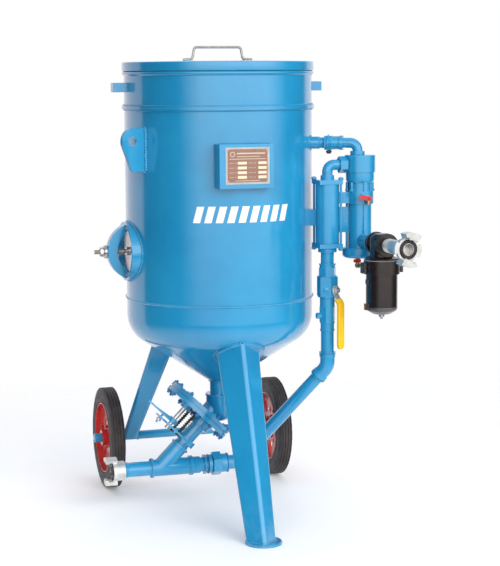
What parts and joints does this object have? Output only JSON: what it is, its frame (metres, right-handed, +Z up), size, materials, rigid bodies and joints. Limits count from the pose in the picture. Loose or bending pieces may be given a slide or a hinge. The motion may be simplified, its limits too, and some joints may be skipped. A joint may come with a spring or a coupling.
{
  "type": "abrasive blast pot",
  "caption": "Portable pressure pot for abrasive blasting on a front leg and two wheels, with lid, handhole, air inlet valve, filter, choke valve, metering valve and claw couplings.",
  "frame": {"origin": "middle of the machine's outline at the floor", "axes": "+Z up, front leg towards -Y, air valves on +X, handhole and blast outlet on -X"},
  "size_m": [0.9079, 1.129, 1.5259],
  "materials": {
    "blue_paint": "gloss",
    "red_paint": "gloss",
    "yellow_paint": "satin",
    "black_paint": "satin",
    "tyre": "matte",
    "gasket_rubber": "matte",
    "steel": "satin",
    "cast_zinc": "satin",
    "brass": "satin",
    "plate_metal": "satin",
    "filter_felt": "matte"
  },
  "bodies": {
    "pot": {"vessel_shell": "blue_paint", "bottom_head": "blue_paint", "top_head": "blue_paint", "fill_seal": "gasket_rubber", "fill_collar": "blue_paint", "lifting_lugs": "blue_paint", "grab_handles": "blue_paint", "front_leg": "blue_paint", "rear_leg_left": "blue_paint", "rear_leg_right": "blue_paint", "axle": "blue_paint", "handhole_neck": "blue_paint", "handhole_gasket": "gasket_rubber", "handhole_cover": "steel", "handhole_yoke": "blue_paint", "handhole_nut": "steel", "plate_bracket": "blue_paint", "data_plate": "plate_metal", "air_pipe": "blue_paint", "air_elbow": "blue_paint", "valve_cap": "blue_paint", "valve_barrel": "blue_paint", "line_barrel": "blue_paint", "line_frame": "blue_paint", "link_elbow": "blue_paint", "valve_bracket": "blue_paint", "mini_valves": "brass", "choke_body": "blue_paint", "pusher_pipe": "blue_paint", "blast_wye": "blue_paint", "blast_union": "blue_paint", "outlet_coupling": "cast_zinc", "outlet_gasket": "gasket_rubber", "inlet_coupling": "cast_zinc", "inlet_gasket": "gasket_rubber", "meter_upper": "blue_paint", "meter_lower": "blue_paint", "meter_springs": "steel", "meter_bolts": "blue_paint", "filter_head": "black_paint", "filter_clamp": "black_paint", "filter_bowl": "black_paint", "filter_element": "filter_felt"},
    "lid": {"lid": "blue_paint", "lid_handle": "steel"},
    "popup": {"popup_plug": "gasket_rubber"},
    "wheel_left": {"tyre_left": "tyre", "rim_left": "red_paint"},
    "wheel_right": {"tyre_right": "tyre", "rim_right": "red_paint"},
    "inlet_piston": {"valve_piston": "steel"},
    "line_piston": {"line_piston": "steel"},
    "bleed": {"bleed_lever": "red_paint"},
    "drain": {"drain_lever": "red_paint"},
    "choke": {"choke_ball": "steel", "choke_lever": "yellow_paint"},
    "meter": {"meter_blade": "steel", "meter_lever": "blue_paint"},
    "meter_knob": {"meter_knob": "steel"},
    "filter_tap": {"filter_drain": "steel"}
  },
  "joints": [
    {"name": "lid_lift", "type": "slide", "parent": "pot", "child": "lid", "axis": [0, 0, 1], "range_m": [0, 0.3]},
    {"name": "popup_close", "type": "slide", "parent": "pot", "child": "popup", "axis": [0, 0, 1], "range_m": [0, 0.022]},
    {"name": "wheel_left_roll", "type": "hinge", "parent": "pot", "child": "wheel_left", "pos_m": [-0.336, 0.3895, 0.175], "axis": [1, 0, 0], "continuous": true},
    {"name": "wheel_right_roll", "type": "hinge", "parent": "pot", "child": "wheel_right", "pos_m": [0.264, 0.3895, 0.175], "axis": [1, 0, 0], "continuous": true},
    {"name": "inlet_valve_stroke", "type": "slide", "parent": "pot", "child": "inlet_piston", "axis": [0, 0, 1], "range_m": [0, 0.035]},
    {"name": "line_valve_stroke", "type": "slide", "parent": "pot", "child": "line_piston", "axis": [0, 0, 1], "range_m": [0, 0.05]},
    {"name": "bleed_turn", "type": "hinge", "parent": "pot", "child": "bleed", "pos_m": [0.37804, -0.28101, 1.04], "axis": [0.1219, -0.9925, 0], "range_deg": [0, 90]},
    {"name": "drain_turn", "type": "hinge", "parent": "pot", "child": "drain", "pos_m": [0.352, -0.2565, 0.84], "axis": [0, -1, 0], "range_deg": [0, 90]},
    {"name": "choke_turn", "type": "hinge", "parent": "pot", "child": "choke", "pos_m": [0.259, -0.2155, 0.747], "axis": [0.5, -0.866, 0], "range_deg": [0, 90]},
    {"name": "metering_turn", "type": "hinge", "parent": "pot", "child": "meter", "pos_m": [-0.14064, 0.0135, 0.36025], "axis": [0.7071, 0, 0.7071], "range_deg": [0, 50]},
    {"name": "knob_turn", "type": "hinge", "parent": "meter", "child": "meter_knob", "pos_m": [-0.24812, 0.0135, 0.31076], "axis": [0.7071, 0, 0.7071], "continuous": true},
    {"name": "filter_tap_turn", "type": "hinge", "parent": "pot", "child": "filter_tap", "pos_m": [0.38589, -0.36667, 0.68], "axis": [0, 0, 1], "range_deg": [0, 90]}
  ]
}
